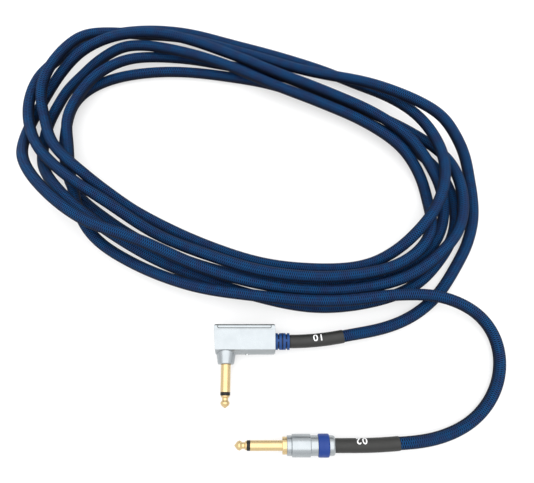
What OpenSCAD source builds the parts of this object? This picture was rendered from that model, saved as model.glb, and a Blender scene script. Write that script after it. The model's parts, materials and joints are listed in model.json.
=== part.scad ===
// Instrument cable: a coiled braided cord with a straight 6.35 mm plug at one end
// and a right-angle 6.35 mm plug at the other. Millimetres, +Z up, laid on the plane z = 0.
// The origin lies on that plane, under the middle of the box around the two plugs.

/* [Cord] */
// Diameter of the cord's braided jacket
cord_d = 8; // [6:0.1:8.6]
// Diameter of the insulated core under the jacket
core_d = 3.2; // [2.6:0.1:3.6]
// Diameter of the core's bare conductor and of the twisted shield
wire_d = 1.2; // [0.8:0.1:1.4]

/* [Coil] */
// Half of the coil's mean length
coil_long = 156; // [140:1:180]
// Half of the coil's mean width
coil_wide = 83; // [74:1:100]
// Turn of the coil's long axis about +Z
coil_tilt = -19; // [-30:1:0]
// Air left between two turns that lie on each other
turn_air = 0.9; // [0.8:0.05:1.5]

/* [Pins] */
// Outer diameter of both plug pins
pin_d = 6.35; // [6.2:0.05:6.5]
// Bore through the pin's sleeve
pin_bore = 3.7; // [3.4:0.1:4]
// Diameter of the centre rod that carries the tip
rod_d = 2.3; // [1.8:0.1:2.5]
// Length of the black insulating ring
ring_len = 2; // [1.2:0.1:2.6]
// Length of the tip in front of the ring
tip_len = 7.9; // [7:0.1:9]
// Diameter of the tip's waist, where a socket's spring rests
waist_d = 3.9; // [3.4:0.1:4.4]
// Diameter of the tip's head
head_d = 6; // [5:0.1:6.2]

/* [Straight plug] */
// Length of the sleeve from the insulating ring to the collar
straight_pin_len = 20.1; // [17:0.1:24]
// Diameter of the gold collar
collar_d = 10.6; // [10:0.1:12]
// Length of the gold collar
collar_len = 2.9; // [1.5:0.1:4]
// Diameter of the boss that screws into the shell
boss_d = 9.4; // [8.6:0.1:10]
// Length of that boss
boss_len = 4.5; // [3.6:0.1:5]
// Wall of the shell round the boss
front_wall = 1.3; // [0.9:0.1:1.8]
// Length of the shell's narrower front step
front_step_len = 2.8; // [1.5:0.1:3.4]
// Length of the shell's barrel
barrel_len = 12.1; // [12:0.1:16]
// Wall of the barrel
barrel_wall = 1.1; // [0.8:0.1:1.6]
// Length of the shell's narrower rear neck
rear_neck_len = 4.5; // [4:0.1:7]
// Wall of the rear neck
rear_neck_wall = 0.75; // [0.6:0.05:1.2]
// Step inside the shell between the rear neck's bore and the barrel's
shell_step = 0.4; // [0.2:0.1:0.8]
// Wall of the insulating liner
liner_wall = 0.4; // [0.3:0.05:0.6]
// Length of the coloured ring
colour_len = 6.9; // [4:0.1:9]
// Wall of the coloured ring
colour_wall = 1.65; // [1.2:0.05:2.5]
// Length of the rear nut's head
nut_len = 3.7; // [3:0.1:6]
// Wall of the rear nut's head
nut_wall = 1.45; // [1.3:0.05:2]
// Wall of the rear nut's threaded stem
stem_wall = 0.65; // [0.5:0.05:1]
// How far the stem reaches into the rear neck
thread_len = 4.3; // [4.1:0.1:4.5]
// Length of the chuck that grips the cord
chuck_len = 3.4; // [2.5:0.1:3.4]

/* [Angle plug] */
// Length of the sleeve that shows in front of the neck
angle_pin_len = 17.6; // [15:0.1:21]
// Height of the housing, floor to top
housing_h = 14; // [13.4:0.1:17]
// Depth of the housing without its cover
housing_depth = 15.6; // [15.2:0.1:18]
// Distance from the pin's axis to the housing's near end, at the cover
housing_near = 8; // [7.6:0.1:10]
// Distance from the pin's axis to the housing's far end
housing_far = 32.4; // [31.6:0.1:40]
// Slant of the housing's near end, from cover to neck
housing_slant = 1.3; // [0:0.1:1.5]
// How far the two bevels along the pin side lean back
front_lean = 2.4; // [1:0.1:3]
// Height of the flat band between those bevels
front_flat = 5; // [4:0.1:7]
// Wall of the housing
housing_wall = 1.5; // [1:0.1:1.7]
// Rounding of the housing's edges
housing_round = 1.6; // [0.5:0.1:2]
// Thickness of the cover's plate
cover_t = 3.5; // [2.5:0.1:5]
// Depth of the rim that the cover pushes into the housing
cover_rim = 1.3; // [0.8:0.1:1.4]
// Depth of the long groove in the cover's upper edge
groove_depth = 0.8; // [0.2:0.1:1]
// Diameter of the neck where it leaves the housing
neck_root_d = 12.5; // [11:0.1:13]
// Diameter of the neck's end
neck_end_d = 10.7; // [9:0.1:11]
// Length of the neck
neck_len = 6.4; // [4:0.1:9]
// Distance from the housing's pin side to the cord's axis
cord_side = 8.4; // [8.2:0.1:9]
// Distance from the pin's axis to the ground rivet
rivet_at = 13.9; // [13:0.1:15]
// Length of the ribbed strain relief outside the housing
boot_len = 9.4; // [7:0.1:16]
// Wall of the strain relief at its ribs
boot_wall = 1.5; // [1.2:0.1:2.2]
// Number of ribs
rib_count = 4; // [3:1:6]

/* [Shrink sleeves] */
// Wall of both shrink sleeves
shrink_wall = 0.43; // [0.3:0.01:0.6]
// Length of the straight plug's sleeve behind its nut
straight_shrink_len = 40.5; // [30:0.5:60]
// Bend of that sleeve
straight_shrink_bend = 5; // [1:0.5:12]
// Length of the angle plug's sleeve
angle_shrink_len = 35.9; // [25:0.1:50]
// Bend of that sleeve
angle_shrink_bend = 11; // [2:0.5:20]

/* [Fits] */
// Gap at each side of a piece that is pressed, crimped or shrunk on
grip = 0.02; // [0.01:0.005:0.04]
// Gap at each side of a running thread, ring or guide
running = 0.1; // [0.06:0.01:0.14]
// Gap between the rear nut's bore and the sleeve that it slides over
nut_air = 0.25; // [0.2:0.01:0.5]

/* [Hidden] */
$fn = 48;
cord_r = cord_d / 2;

// Where the plugs lie: the straight plug by its collar's front face, the angle plug by its
// pin's axis and the housing's pin side.
straight_x = -15;
straight_y = -34.1;
angle_x = -51.5;
angle_y = 22.1;

// Chain of diameters from the cord outwards, at the straight plug's rear.
shrink_bore = cord_d + 2 * grip;
shrink_d = shrink_bore + 2 * shrink_wall;
nut_bore = shrink_d + 2 * nut_air;
stem_d = nut_bore + 2 * stem_wall;
neck_bore = stem_d + 2 * running;
rear_neck_d = neck_bore + 2 * rear_neck_wall;
colour_d = neck_bore + 2 * colour_wall;
nut_d = nut_bore + 2 * nut_wall;
shell_bore = neck_bore + 2 * shell_step;
barrel_d = shell_bore + 2 * barrel_wall;
boss_bore = boss_d + 2 * running;
front_step_d = boss_bore + 2 * front_wall;

// Stations along the straight plug, from the collar's front face towards the cord.
shell_at = collar_len;
boss_end = shell_at + boss_len;
barrel_at = shell_at + front_step_len;
rear_neck_at = barrel_at + barrel_len;
colour_at = rear_neck_at + rear_neck_len;
nut_at = colour_at + colour_len;
nut_end = nut_at + nut_len;
stem_at = colour_at - thread_len;
chuck_at = stem_at - running - chuck_len;
jacket_at = chuck_at - 1;
nut_travel = 4;
straight_run = 8;
hollow_at = boss_end + 0.6;
shell_bevel = 0.3;
ring_bevel = 0.4;
ring_bevel_len = 0.6;

// Thin contact pieces inside both plugs.
lug_t = 0.4;
lug_w = 3;
washer_t = 1;
chuck_slot = 0.8;
washer_d = 7.2;
tube_d = pin_bore - running;
tube_bore = rod_d + running;
rivet_head_d = 3;
rivet_head_t = 0.7;
socket_depth = 3;
core_bare = 1.2;
solder_air = 0.2;

// Stations inside the angle plug, from the housing's pin side towards its cover.
shank_d = pin_d + 0.5;
relief_len = 0.4;
relief_depth = 0.3;
flange_t = 1.2;
flange_d = 8.6;
flange_end = housing_wall + flange_t;
clamp_len = 5;
boot_flange_t = 1.5;
boot_flange_at = housing_far - housing_wall - boot_flange_t;
clamp_air = 1.9;
clamp_at = boot_flange_at - clamp_air - clamp_len;
clamp_open = 1.5;
jacket_stub = 1.5;
angle_jacket_at = clamp_at - jacket_stub;
riser_at = 2.1;
angle_arm_len = 7;
angle_wire_from = 4;
angle_core_from = 12;
shield_from = rivet_at + 4.8;
boot_bore = cord_d + 2 * grip;
boot_d = boot_bore + 2 * boot_wall;
boot_neck_wall = 0.6;
boot_neck_d = boot_bore + 2 * boot_neck_wall;
boot_groove = 0.9;
bridge_w = 2;
bridge_sunk = 0.2;

straight_z = max(colour_d, barrel_d) / 2;
angle_z = housing_h / 2;

// Coil: one number per station for how far each turn runs outside (+) or inside (-) the mean
// ellipse. A turn has 24 stations; the sixth turn stops at the 22nd.
stations = 24;
turn_lanes = [
    [15, 18, 24, 22, 14, 9, 7, 10, 17, 21, 21, 12, 4, -4, -7, -12, -16, -17, -16, -14, -14, -14, -17, -19],
    [-17, -10, 3, 13, 18, 17, 16, 18, 25, 29, 29, 22, 14, 8, 3, -3, -8, -8, -7, -5, -5, -6, -7, -10],
    [-14, -15, -12, -10, -12, -15, -15, -8, -1, 6, 4, -1, -4, 0, 7, 8, 8, 8, 8, 10, 13, 12, 10, 5],
    [4, 4, 3, -2, -7, -10, -10, -12, -12, -12, -12, -13, -15, -15, -9, 0, 0, 0, -1, -2, -2, -3, -5, -5],
    [-5, -5, -5, -2, -3, -5, -5, 2, 9, 13, 11, 8, 8, 13, 16, 15, 12, 4, 3, 3, 3, 3, 3, 2],
    [5, 8, 11, 7, 2, -1, -1, -3, 0, -2, -9, -17, -19, -18, -15, -2, 15, 17, 16, 12, 11, 11],
];
// Up to each angle round the coil, the order in which the six turns lie: 6 is on top.
turn_order = [
    [37.5, [5, 6, 2, 1, 3, 4]],
    [52.5, [6, 5, 3, 1, 4, 2]],
    [142.5, [4, 3, 5, 1, 6, 2]],
    [195, [6, 5, 3, 1, 4, 2]],
    [247.5, [5, 6, 3, 1, 4, 2]],
    [340, [4, 5, 2, 1, 3, 6]],
    [360, [6, 3, 1, 2, 4, 5]],
];
coil_centre = [-42.6, 160.5];

// Free stretches of the cord, between the sleeves and the coil.
angle_route = [
    [32, 35.1, 7], [40.2, 36.5, 6.6], [48.3, 38.2, 5.6], [56.4, 40.4, 4.6], [64.5, 43.3, 4.1],
    [71.6, 46.6, 4], [78.5, 50.7, 4], [85.3, 55.9, 4], [91.5, 61.5, 4], [97, 67.9, 4],
    [102.4, 75.4, 4], [107.4, 83, 4], [112, 90.4, 4],
];
straight_route = [
    [60, 60.4, 14], [68, 60.8, 13.6], [77, 60.9, 13.4], [86, 60.4, 13.3], [93.9, 58.9, 13.2],
    [100.8, 56.7, 12.4], [107.7, 54, 10.8], [114.4, 50.6, 8.6], [120.4, 46, 6.4], [125, 40.4, 4.9],
    [128.1, 33.8, 4.1], [129.6, 26.4, 4], [129.6, 18.6, 4], [128.3, 11.1, 4], [125.5, 2.8, 4],
    [120.9, -5.2, 4], [114.9, -12.6, 4], [107.7, -18.9, 4], [99.6, -23.9, 4], [91.3, -27.4, 4.2],
    [83.1, -29.9, 5], [75, -31.4, 6.3], [67.4, -32.3, 7.1],
];

// ---- the cord's own geometry ----

function turned(p, a) = [p[0] * cos(a) - p[1] * sin(a), p[0] * sin(a) + p[1] * cos(a)];
function unit(v) = v / norm(v);
function average(list) = list * [for (v = list) 1] / len(list);

fine = 4;
per_turn = stations * fine;
lanes = [for (turn = turn_lanes) each turn];
lane_count = len(lanes);
fine_count = (lane_count - 1) * fine + 1;
turn_pitch = cord_d + turn_air;

// Mean ellipse and its outward normal at an angle round the coil.
function mean_point(a) =
    coil_centre + turned([coil_long * cos(a), coil_wide * sin(a)], coil_tilt);
function mean_normal(a) =
    turned(unit([coil_wide * cos(a), coil_long * sin(a)]), coil_tilt);

// A smooth curve through the lane numbers, read at a quarter of a station.
function lane_at(i) =
    i < 0 ? 2 * lanes[0] - lanes[1]
    : i >= lane_count ? 2 * lanes[lane_count - 1] - lanes[lane_count - 2]
    : lanes[i];
function smooth_lane(k) =
    let (i = floor(k / fine), u = k / fine - i,
         a = lane_at(i - 1), b = lane_at(i), c = lane_at(i + 1), d = lane_at(i + 2))
    b + u * (c - a) / 2 + u * u * (2 * a - 5 * b + 4 * c - d) / 2
      + u * u * u * (3 * b - a - 3 * c + d) / 2;

fine_angle = 360 / per_turn;
fine_lanes = [for (k = [0 : fine_count - 1]) smooth_lane(k)];
means = [for (k = [0 : fine_count - 1]) mean_point(k * fine_angle)];
plan = [for (k = [0 : fine_count - 1]) means[k] + fine_lanes[k] * mean_normal(k * fine_angle)];

function before(k) = max(k - 1, 0);
function after(k) = min(k + 1, fine_count - 1);
// How much a strand's slope across its lane narrows the distance to its neighbour.
squeeze = [for (k = [0 : fine_count - 1])
    1 / norm([1, (fine_lanes[after(k)] - fine_lanes[before(k)])
                 / norm(means[after(k)] - means[before(k)])])];

function order_row(a, row = 0) =
    a < turn_order[row][0] ? turn_order[row][1] : order_row(a, row + 1);
rank = [for (k = [0 : fine_count - 1])
    order_row((k % per_turn) * fine_angle)[floor(k / per_turn)]];

// For each point, the points of lower turns that reach under it and how much higher it lies.
rests_on = [for (k = [0 : fine_count - 1])
    [for (j = [k % per_turn : per_turn : fine_count - 1])
        let (aside = abs(fine_lanes[k] - fine_lanes[j]) * min(squeeze[k], squeeze[j]))
        if (rank[j] < rank[k] && aside < turn_pitch)
            [j, sqrt(turn_pitch * turn_pitch - aside * aside)]]];

// Heights settle in a few passes: each turn lies on those below, widened and then smoothed so
// that the cord bends gently over a crossing.
widen = 3;
soften = 2;
passes = 6;
function lifted(z) = [for (k = [0 : fine_count - 1])
    max([cord_r, for (r = rests_on[k]) z[r[0]] + r[1]])];
function widened(z) = [for (k = [0 : fine_count - 1])
    max([for (j = [max(0, k - widen) : min(fine_count - 1, k + widen)]) z[j]])];
function softened(z) = [for (k = [0 : fine_count - 1])
    average([for (j = [max(0, k - soften) : min(fine_count - 1, k + soften)]) z[j]])];
function settled(z, n) = n == 0 ? z : settled(softened(widened(lifted(z))), n - 1);
heights = settled([for (k = [0 : fine_count - 1]) cord_r], passes);

coil_ring_points = [for (k = [0 : fine : fine_count - 1]) [plan[k][0], plan[k][1], heights[k]]];
function level(v) = [v[0], v[1], 0];
coil_heading_in = level(unit(plan[1] - plan[0]));
coil_heading_out = level(unit(plan[fine_count - 1] - plan[fine_count - 2]));
coil_first = coil_ring_points[0];
coil_last = coil_ring_points[len(coil_ring_points) - 1];
coil_entry = coil_first - cord_d * coil_heading_in;
coil_exit = coil_last + cord_d * coil_heading_out;
coil_path = concat([coil_entry], coil_ring_points, [coil_exit]);

// Ends of the two shrink sleeves, where the free cord begins.
straight_arc_at = nut_end + nut_travel + straight_run;
straight_arc_len = straight_shrink_len - nut_travel - straight_run;
function arc_radius(length, bend) = length / (bend * PI / 180);
function arc_end(length, bend) =
    arc_radius(length, bend) * [sin(bend), 1 - cos(bend), 0];
straight_sleeve_end = [straight_x + straight_arc_at, straight_y, straight_z]
    + arc_end(straight_arc_len, straight_shrink_bend);
angle_sleeve_end = [angle_x + housing_far + boot_len, angle_y + cord_side, angle_z]
    + arc_end(angle_shrink_len, angle_shrink_bend);
angle_path = concat([angle_sleeve_end], angle_route, [coil_entry]);
straight_path = concat([coil_exit], straight_route, [straight_sleeve_end]);

function path_length(p) = len(p) < 2 ? 0
    : [for (i = [1 : len(p) - 1]) norm(p[i] - p[i - 1])] * [for (i = [1 : len(p) - 1]) 1];

// Least air between turns, measured on points along the runs from ring to ring.
steps = 4;
run_points = [for (i = [1 : len(coil_ring_points) - 3], s = [0 : steps - 1])
    coil_ring_points[i] + (coil_ring_points[i + 1] - coil_ring_points[i]) * s / steps];
apart = stations / 2 * steps;
near = 8;
least_centres = min([for (k = [0 : len(run_points) - 1])
    for (j = [k % per_turn : per_turn : k - apart], n = [-near : near])
        if (j + n >= 0 && j + n < k - apart) norm(run_points[k] - run_points[j + n])]);
echo(least_coil_gap = least_centres - cord_d);
echo(coil_length = path_length(coil_path), highest_turn = max(heights) + cord_r);
echo(cord_length = path_length(coil_path) + path_length(angle_path) + path_length(straight_path));

// ---- helpers ----

// Points of an arc, for outlines with round corners.
function arc_points(centre, r, from, to, count = 6) =
    [for (i = [0 : count]) centre + r * [cos(from + (to - from) * i / count),
                                         sin(from + (to - from) * i / count)]];

module along_x(at) translate(at) rotate([0, 90, 0]) children();
module along_y(at) translate(at) rotate([-90, 0, 0]) children();

module at_straight() along_x([straight_x, straight_y, straight_z]) children();
module at_angle_pin() along_y([angle_x, angle_y, angle_z]) children();
module at_angle_cord() along_x([angle_x, angle_y + cord_side, angle_z]) children();

// A ring-shaped piece on the local Z axis, from one station to another.
module collar_piece(d, bore, from, to)
    translate([0, 0, from]) difference() {
        cylinder(d = d, h = to - from);
        translate([0, 0, -1]) cylinder(d = bore, h = to - from + 2);
    }

// A round tube or rod that starts at the local origin along +X and bends towards +Y.
module bent_tube(d, bore, length, bend)
    translate([0, arc_radius(length, bend), 0]) rotate([0, 0, -90])
        rotate_extrude(angle = bend, $fn = 180)
            translate([arc_radius(length, bend), 0]) difference() {
                circle(d = d);
                if (bore > 0) circle(d = bore);
            }

// A tube with sides flat between rings, swept along a list of points. Its end faces are square
// to the headings given, so that it meets its neighbours face to face.
module swept(path, r, sides, heading_in, heading_out) {
    last = len(path) - 1;
    function ahead(i) = i == 0 ? heading_in
        : i == last ? heading_out
        : unit(unit(path[i] - path[i - 1]) + unit(path[i + 1] - path[i]));
    rings = [for (i = [0 : last])
        let (t = ahead(i), side = unit(cross(t, [0, 0, 1])), up = cross(side, t))
        for (k = [0 : sides - 1])
            let (a = 360 / sides * k - 90) path[i] + r * (cos(a) * side + sin(a) * up)];
    skin = [for (i = [0 : last - 1], k = [0 : sides - 1])
        let (a = i * sides + k, b = i * sides + (k + 1) % sides)
        each [[a, b, b + sides], [a, b + sides, a + sides]]];
    foot = [for (k = [1 : sides - 2]) [0, k + 1, k]];
    head = [for (k = [1 : sides - 2]) [last * sides, last * sides + k, last * sides + k + 1]];
    polyhedron(points = rings, faces = concat(skin, foot, head), convexity = 10);
}

// ---- pieces of a pin, on the local Z axis: z = 0 is the sleeve's front end ----

module pin_tip() {
    flange_r = 0.95 * head_d / 2;
    shoulder_len = 0.8;
    waist_from = 1.6;
    waist_to = 3;
    head_at = 0.6 * tip_len;
    nose_r = 0.7;
    nose_from = 40;
    nose = arc_points([0, tip_len - nose_r], nose_r, nose_from, 90);
    color("gold") translate([0, 0, -ring_len]) mirror([0, 0, 1]) rotate_extrude()
        polygon(concat(
            [[rod_d / 2 + grip, 0], [flange_r, 0], [flange_r, shoulder_len],
             [waist_d / 2, waist_from], [waist_d / 2, waist_to],
             [head_d / 2 - 0.1, head_at - 0.4], [head_d / 2, head_at],
             [head_d / 2 - 0.1, head_at + 0.5], [0.8 * head_d / 2, head_at + 1.5]],
            nose, [[0, socket_depth], [rod_d / 2 + grip, socket_depth]]));
}

module pin_ring()
    color("black") collar_piece(pin_d, tube_bore, -ring_len, 0);

module pin_tube(to)
    color("ivory") collar_piece(tube_d, tube_bore, 0, to);

module pin_rod(to) color("silver") {
    translate([0, 0, -ring_len - socket_depth])
        cylinder(d = rod_d, h = ring_len + socket_depth + to);
    translate([0, 0, to]) cylinder(d = rivet_head_d, h = rivet_head_t);
}

module pin_washer(from)
    color("saddlebrown") collar_piece(washer_d, tube_bore, from, from + washer_t);

// ---- straight plug ----

module straight_front() at_straight() translate([0, 0, -straight_pin_len]) children();
straight_lug_at = straight_pin_len + boss_end;

module straight_tip() straight_front() pin_tip();
module straight_insulating_ring() straight_front() pin_ring();
module straight_insulating_tube() straight_front() pin_tube(straight_lug_at + lug_t);
module straight_washer() straight_front() pin_washer(straight_lug_at + lug_t);
module straight_rod() straight_front() pin_rod(straight_lug_at + 2 * lug_t + washer_t);

module straight_sleeve()
    color("gold") at_straight() difference() {
        union() {
            translate([0, 0, -straight_pin_len]) cylinder(d = pin_d, h = straight_pin_len + 1);
            cylinder(d = collar_d, h = collar_len);
            cylinder(d = boss_d, h = boss_end);
        }
        translate([0, 0, -straight_pin_len - 1])
            cylinder(d = pin_bore, h = straight_pin_len + boss_end + 2);
    }

// The tip's contact: a disc round the rod with an arm that the core's wire lies under.
tip_lug_at = boss_end + lug_t + washer_t;
wire_up = core_d / 2 - wire_d / 2;
arm_under = wire_up + wire_d / 2 + grip;
module straight_tip_lug()
    color("goldenrod") at_straight() difference() {
        union() {
            translate([0, 0, tip_lug_at]) cylinder(d = 2 * (arm_under + 1), h = lug_t);
            translate([-arm_under - lug_t, -lug_w / 2, tip_lug_at])
                cube([lug_t, lug_w, jacket_at - core_bare - solder_air - tip_lug_at]);
        }
        translate([0, 0, tip_lug_at - 1]) cylinder(d = rod_d + running, h = lug_t + 2);
    }

// The sleeve's contact: a disc round the tube with an arm that reaches under the jacket.
ground_arm = cord_r + grip;
module straight_ground_lug()
    color("goldenrod") at_straight() difference() {
        union() {
            translate([0, 0, boss_end]) cylinder(d = 2 * (ground_arm + lug_t), h = lug_t);
            translate([ground_arm, -lug_w / 2, boss_end])
                cube([lug_t, lug_w, chuck_at - 0.3 - boss_end]);
        }
        translate([0, 0, boss_end - 1]) cylinder(d = tube_d + running, h = lug_t + 2);
    }

module straight_shell()
    color("silver") at_straight() rotate_extrude() polygon([
        [boss_bore / 2, shell_at], [front_step_d / 2, shell_at], [front_step_d / 2, barrel_at],
        [barrel_d / 2, barrel_at + shell_bevel], [barrel_d / 2, rear_neck_at - shell_bevel],
        [rear_neck_d / 2, rear_neck_at], [rear_neck_d / 2, colour_at], [neck_bore / 2, colour_at],
        [neck_bore / 2, rear_neck_at + shell_bevel], [shell_bore / 2, rear_neck_at],
        [shell_bore / 2, hollow_at], [boss_bore / 2, hollow_at],
    ]);

module straight_liner()
    color("dimgray") at_straight()
        collar_piece(shell_bore - 2 * running, shell_bore - 2 * running - 2 * liner_wall,
                     hollow_at + running, chuck_at);

module straight_chuck()
    color("dimgray") at_straight() difference() {
        collar_piece(neck_bore - 2 * running, shrink_bore, chuck_at, stem_at - running);
        for (a = [45, 135]) rotate([0, 0, a])
            translate([-neck_bore / 2, -chuck_slot / 2, chuck_at + 1])
                cube([neck_bore, chuck_slot, chuck_len]);
    }

module colour_ring()
    color("royalblue") at_straight() rotate_extrude() polygon([
        [neck_bore / 2, colour_at], [colour_d / 2 - ring_bevel, colour_at],
        [colour_d / 2, colour_at + ring_bevel_len], [colour_d / 2, nut_at - ring_bevel_len],
        [colour_d / 2 - ring_bevel, nut_at], [neck_bore / 2, nut_at],
    ]);

module rear_nut() {
    round_r = nut_wall - 0.2;
    color("silver") at_straight() rotate_extrude() polygon(concat(
        [[nut_bore / 2, stem_at], [stem_d / 2, stem_at], [stem_d / 2, nut_at], [nut_d / 2, nut_at]],
        arc_points([nut_d / 2 - round_r, nut_end - round_r], round_r, 0, 90),
        [[nut_bore / 2, nut_end]]));
}

shrink_at = stem_at + 0.4;
module straight_shrink_sleeve() color("dimgray") {
    at_straight() collar_piece(shrink_d, shrink_bore, shrink_at, straight_arc_at);
    translate([straight_x + straight_arc_at, straight_y, straight_z])
        bent_tube(shrink_d, shrink_bore, straight_arc_len, straight_shrink_bend);
}

module straight_cord_end() color("navy") {
    at_straight() translate([0, 0, jacket_at]) cylinder(d = cord_d, h = straight_arc_at - jacket_at);
    translate([straight_x + straight_arc_at, straight_y, straight_z])
        bent_tube(cord_d, 0, straight_arc_len, straight_shrink_bend);
}

module straight_core()
    color("white") at_straight() translate([0, 0, jacket_at - core_bare])
        cylinder(d = core_d, h = core_bare);

wire_from = tip_lug_at + lug_t + rivet_head_t + solder_air;
module straight_wire()
    color("orange") at_straight() translate([-wire_up, 0, wire_from])
        cylinder(d = wire_d, h = jacket_at - core_bare - wire_from);

shield_aside = cord_r - grip - wire_d / 2;
module straight_shield()
    color("orange") at_straight() translate([shield_aside, 0, tip_lug_at + lug_t])
        cylinder(d = wire_d, h = jacket_at - tip_lug_at - lug_t);

// ---- angle plug ----

module angle_front() at_angle_pin() translate([0, 0, -neck_len - angle_pin_len]) children();
angle_lug_at = neck_len + angle_pin_len + flange_end;

module angle_tip() angle_front() pin_tip();
module angle_insulating_ring() angle_front() pin_ring();
module angle_insulating_tube() angle_front() pin_tube(angle_lug_at + lug_t);
module angle_washer() angle_front() pin_washer(angle_lug_at + lug_t);
module angle_rod() angle_front() pin_rod(angle_lug_at + 2 * lug_t + washer_t);

module angle_sleeve()
    color("gold") angle_front() difference() {
        union() {
            cylinder(d = pin_d, h = angle_pin_len);
            cylinder(d = pin_d - 2 * relief_depth, h = angle_lug_at);
            translate([0, 0, angle_pin_len + relief_len])
                cylinder(d = shank_d, h = angle_lug_at - angle_pin_len - relief_len);
            translate([0, 0, angle_lug_at - flange_t]) cylinder(d = flange_d, h = flange_t);
        }
        translate([0, 0, -1]) cylinder(d = pin_bore, h = angle_lug_at + 2);
    }

// Outline of the housing and its cover seen from above, in the plug's own x and y.
module housing_outline() {
    full = housing_depth + cover_t;
    r = housing_round;
    polygon(concat(
        [[-housing_near + housing_slant, 0]],
        arc_points([housing_far - r, r], r, -90, 0),
        arc_points([housing_far - r, full - r], r, 0, 90),
        arc_points([-housing_near + r, full - r], r, 90, 180)));
}

// Section across the housing: round edges at the cover, two bevels at the pin side.
lean_height = (housing_h - front_flat) / 2;
module housing_section() {
    full = housing_depth + cover_t;
    r = housing_round;
    polygon(concat(
        [[0, lean_height], [front_lean, 0]], arc_points([full - r, r], r, 270, 360),
        arc_points([full - r, housing_h - r], r, 0, 90),
        [[front_lean, housing_h], [0, housing_h - lean_height]]));
}

// The solid block of housing or cover between two depths.
module housing_block(from, to)
    translate([angle_x, angle_y, angle_z - housing_h / 2]) intersection() {
        linear_extrude(height = housing_h) housing_outline();
        translate([-housing_near - 1, 0, 0]) rotate([90, 0, 90])
            linear_extrude(height = housing_near + housing_far + 2) housing_section();
        translate([-housing_near - 1, from, 0])
            cube([housing_near + housing_far + 2, to - from, housing_h]);
    }

cavity_near = housing_near - housing_slant - housing_wall;
cavity_far = housing_far - housing_wall;
cavity_h = housing_h - 2 * housing_wall;
// A box in the housing's hollow, drawn in by a margin.
module cavity_box(margin, from, to)
    translate([angle_x - cavity_near + margin, angle_y + from, angle_z - cavity_h / 2 + margin])
        cube([cavity_near + cavity_far - 2 * margin, to - from, cavity_h - 2 * margin]);

// The housing's whole hollow: its front corners follow the bevels at the wall's thickness.
lean_slope = front_lean / lean_height;
inner_flat = front_flat + 2 * housing_wall * (1 - norm([1, lean_slope])) / lean_slope;
inner_lean = lean_slope * (cavity_h - inner_flat) / 2;
module housing_hollow()
    translate([angle_x - cavity_near, angle_y + housing_wall, angle_z])
        rotate([90, 0, 90]) linear_extrude(height = cavity_near + cavity_far)
            polygon([
                [0, -inner_flat / 2], [inner_lean, -cavity_h / 2], [housing_depth, -cavity_h / 2],
                [housing_depth, cavity_h / 2], [inner_lean, cavity_h / 2], [0, inner_flat / 2],
            ]);

rivet_d = 1.6;
rivet_button_d = 2.6;
rivet_button_t = 0.5;
module angle_housing()
    color("silver") difference() {
        union() {
            housing_block(0, housing_depth);
            at_angle_pin() rotate_extrude() polygon([
                [0, -neck_len], [neck_end_d / 2 - 0.4, -neck_len], [neck_end_d / 2, 0.4 - neck_len],
                [neck_root_d / 2, 0], [neck_root_d / 2, front_lean], [0, front_lean]]);
        }
        housing_hollow();
        at_angle_pin() translate([0, 0, -neck_len - 1])
            cylinder(d = shank_d + 2 * grip, h = neck_len + housing_wall + 2);
        at_angle_pin() translate([0, 0, housing_wall])
            cylinder(d = flange_d + 2 * running, h = front_lean + inner_lean);
        at_angle_cord() translate([0, 0, cavity_far - 1])
            cylinder(d = boot_neck_d + 2 * grip, h = housing_wall + 2);
        at_angle_pin() translate([rivet_at, 0, -1]) cylinder(d = rivet_d + 2 * grip, h = housing_wall + 2);
    }

groove_w = 0.5;
island_from = -housing_near + 2.2;
island_to = housing_far - 2.4;
island_w = 0.7 * cover_t;
module angle_cover()
    color("silver") difference() {
        union() {
            housing_block(housing_depth, housing_depth + cover_t);
            cavity_box(running, housing_depth - cover_rim, housing_depth + 0.5);
        }
        cavity_box(running + 0.8, housing_depth - cover_rim - 1, housing_depth + 1);
        // long groove round a flat island on the upper edge
        translate([angle_x, angle_y + housing_depth + cover_t / 2, housing_h - groove_depth])
            linear_extrude(height = groove_depth + 1) difference() {
                long_round(island_from, island_to, island_w);
                long_round(island_from + groove_w, island_to - groove_w, island_w - 2 * groove_w);
            }
    }

// A bar with round ends along x.
module long_round(from, to, width) {
    translate([from + width / 2, -width / 2]) square([to - from - width, width]);
    for (x = [from + width / 2, to - width / 2]) translate([x, 0]) circle(d = width, $fn = 24);
}

// Contact of the angle plug's sleeve: a disc, an arm riveted to the housing and a cord clamp.
arm_low = housing_wall;
arm_high = cord_side - cord_r - grip - lug_t;
module angle_ground_lug()
    color("goldenrod") difference() {
        union() {
            at_angle_pin() translate([0, 0, flange_end]) cylinder(d = flange_d - 0.6, h = lug_t);
            translate([angle_x, angle_y, angle_z - lug_w / 2]) linear_extrude(height = lug_w)
                bent_strip([[2.2, flange_end], [rivet_at - 5.2, flange_end], [rivet_at - 4, arm_low],
                            [rivet_at + 2, arm_low], [rivet_at + 4.6, arm_high],
                            [clamp_at + clamp_len, arm_high]], lug_t);
            at_angle_cord() translate([0, 0, clamp_at]) difference() {
                cylinder(r = ground_arm + lug_t, h = clamp_len);
                translate([-ground_arm - 1, clamp_open, -1])
                    cube([2 * ground_arm + 2, ground_arm, clamp_len + 2]);
            }
        }
        at_angle_cord() translate([0, 0, clamp_at - 1]) cylinder(r = ground_arm, h = clamp_len + 2);
        at_angle_pin() translate([0, 0, flange_end - 1]) cylinder(d = tube_d + running, h = lug_t + 2);
        at_angle_pin() translate([rivet_at, 0, 0]) cylinder(d = rivet_d + 2 * grip, h = arm_high);
    }

// A strip of even height that follows a list of points.
module bent_strip(points, t)
    polygon(concat(points, [for (i = [len(points) - 1 : -1 : 0]) points[i] + [0, t]]));

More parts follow.
